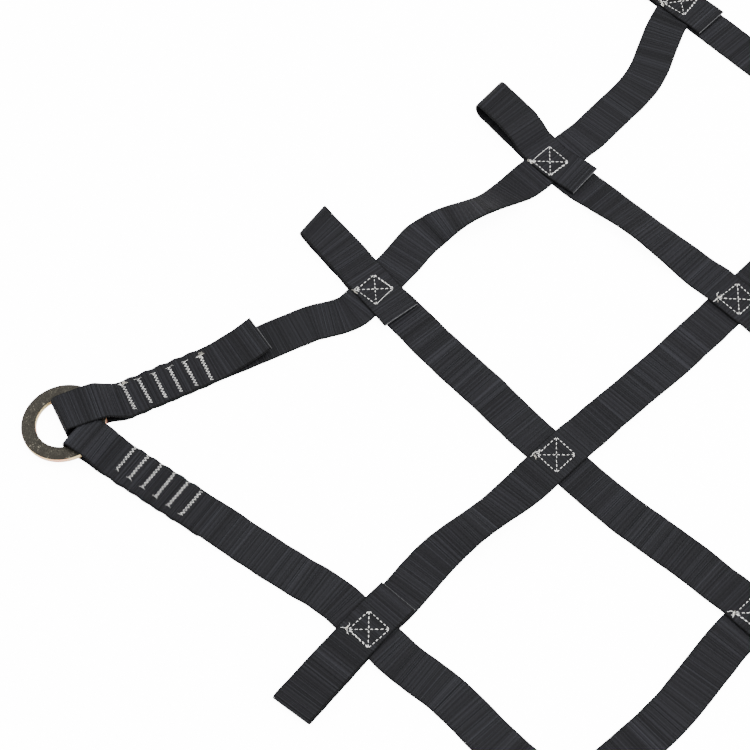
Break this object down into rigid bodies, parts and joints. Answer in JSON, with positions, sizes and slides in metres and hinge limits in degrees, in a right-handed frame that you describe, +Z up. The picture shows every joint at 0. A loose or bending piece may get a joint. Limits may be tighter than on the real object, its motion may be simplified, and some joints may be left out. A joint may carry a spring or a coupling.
{
  "type": "cargo climbing net",
  "caption": "Cargo climbing net of flat webbing sewn into squares with box-stitched crossings, folded end loops along its edges and a flat steel ring in sewn eyes at each corner.",
  "frame": {"origin": "middle of the net, on the surface that it lies on", "axes": "+X along the length, +Y across the width, +Z up out of the surface"},
  "size_m": [1.861, 1.1186, 0.0188],
  "materials": {
    "webbing": "black ribbed polyester webbing, matt with a faint sheen on the ribs",
    "thread": "off-white bonded sewing thread",
    "ring_steel": "yellow-passivated zinc on steel, dark mottled flat face and bright side walls"
  },
  "bodies": {
    "net_left": {"front_edge_strap_left": "webbing", "back_edge_strap_left": "webbing", "left_edge_strap": "webbing", "left_edge_stitching": "thread", "long_strap_1_left": "webbing", "long_strap_2_left": "webbing", "long_strap_3_left": "webbing", "cross_strap_1": "webbing", "cross_stitching_1": "thread", "cross_strap_2": "webbing", "cross_stitching_2": "thread", "cross_strap_3": "webbing", "cross_stitching_3": "thread"},
    "net_right": {"front_edge_strap_right": "webbing", "back_edge_strap_right": "webbing", "right_edge_strap": "webbing", "right_edge_stitching": "thread", "long_strap_1_right": "webbing", "long_strap_2_right": "webbing", "long_strap_3_right": "webbing", "cross_strap_4": "webbing", "cross_stitching_4": "thread", "cross_strap_5": "webbing", "cross_stitching_5": "thread", "cross_strap_6": "webbing", "cross_stitching_6": "thread"},
    "corner_1": {"short_eye_1": "webbing", "long_eye_1": "webbing", "bar_tacks_1": "thread"},
    "ring_1": {"ring_1": "ring_steel"},
    "corner_2": {"short_eye_2": "webbing", "long_eye_2": "webbing", "bar_tacks_2": "thread"},
    "ring_2": {"ring_2": "ring_steel"},
    "corner_3": {"short_eye_3": "webbing", "long_eye_3": "webbing", "bar_tacks_3": "thread"},
    "ring_3": {"ring_3": "ring_steel"},
    "corner_4": {"short_eye_4": "webbing", "long_eye_4": "webbing", "bar_tacks_4": "thread"},
    "ring_4": {"ring_4": "ring_steel"}
  },
  "joints": [
    {"name": "net_fold", "type": "hinge", "parent": "net_left", "child": "net_right", "pos_m": [0, 0, 0.006], "axis": [0, -1, 0], "range_deg": [0, 160]},
    {"name": "corner_1_fold", "type": "hinge", "parent": "net_left", "child": "corner_1", "pos_m": [-0.74885, -0.39055, 0.003], "axis": [-0.6593, 0.7519, 0], "range_deg": [0, 165]},
    {"name": "ring_1_spin", "type": "hinge", "parent": "corner_1", "child": "ring_1", "pos_m": [-0.8925, -0.5165, 0.00676], "axis": [-0.0786, -0.0689, 0.9945], "continuous": true},
    {"name": "corner_2_fold", "type": "hinge", "parent": "net_right", "child": "corner_2", "pos_m": [0.74885, -0.39055, 0.003], "axis": [-0.6593, -0.7519, 0], "range_deg": [0, 165]},
    {"name": "ring_2_spin", "type": "hinge", "parent": "corner_2", "child": "ring_2", "pos_m": [0.8925, -0.5165, 0.00676], "axis": [0.0786, -0.0689, 0.9945], "continuous": true},
    {"name": "corner_3_fold", "type": "hinge", "parent": "net_right", "child": "corner_3", "pos_m": [0.74885, 0.39055, 0.003], "axis": [0.6593, -0.7519, 0], "range_deg": [0, 165]},
    {"name": "ring_3_spin", "type": "hinge", "parent": "corner_3", "child": "ring_3", "pos_m": [0.8925, 0.5165, 0.00676], "axis": [0.0786, 0.0689, 0.9945], "continuous": true},
    {"name": "corner_4_fold", "type": "hinge", "parent": "net_left", "child": "corner_4", "pos_m": [-0.74885, 0.39055, 0.003], "axis": [0.6593, 0.7519, 0], "range_deg": [0, 165]},
    {"name": "ring_4_spin", "type": "hinge", "parent": "corner_4", "child": "ring_4", "pos_m": [-0.8925, 0.5165, 0.00676], "axis": [-0.0786, 0.0689, 0.9945], "continuous": true}
  ]
}
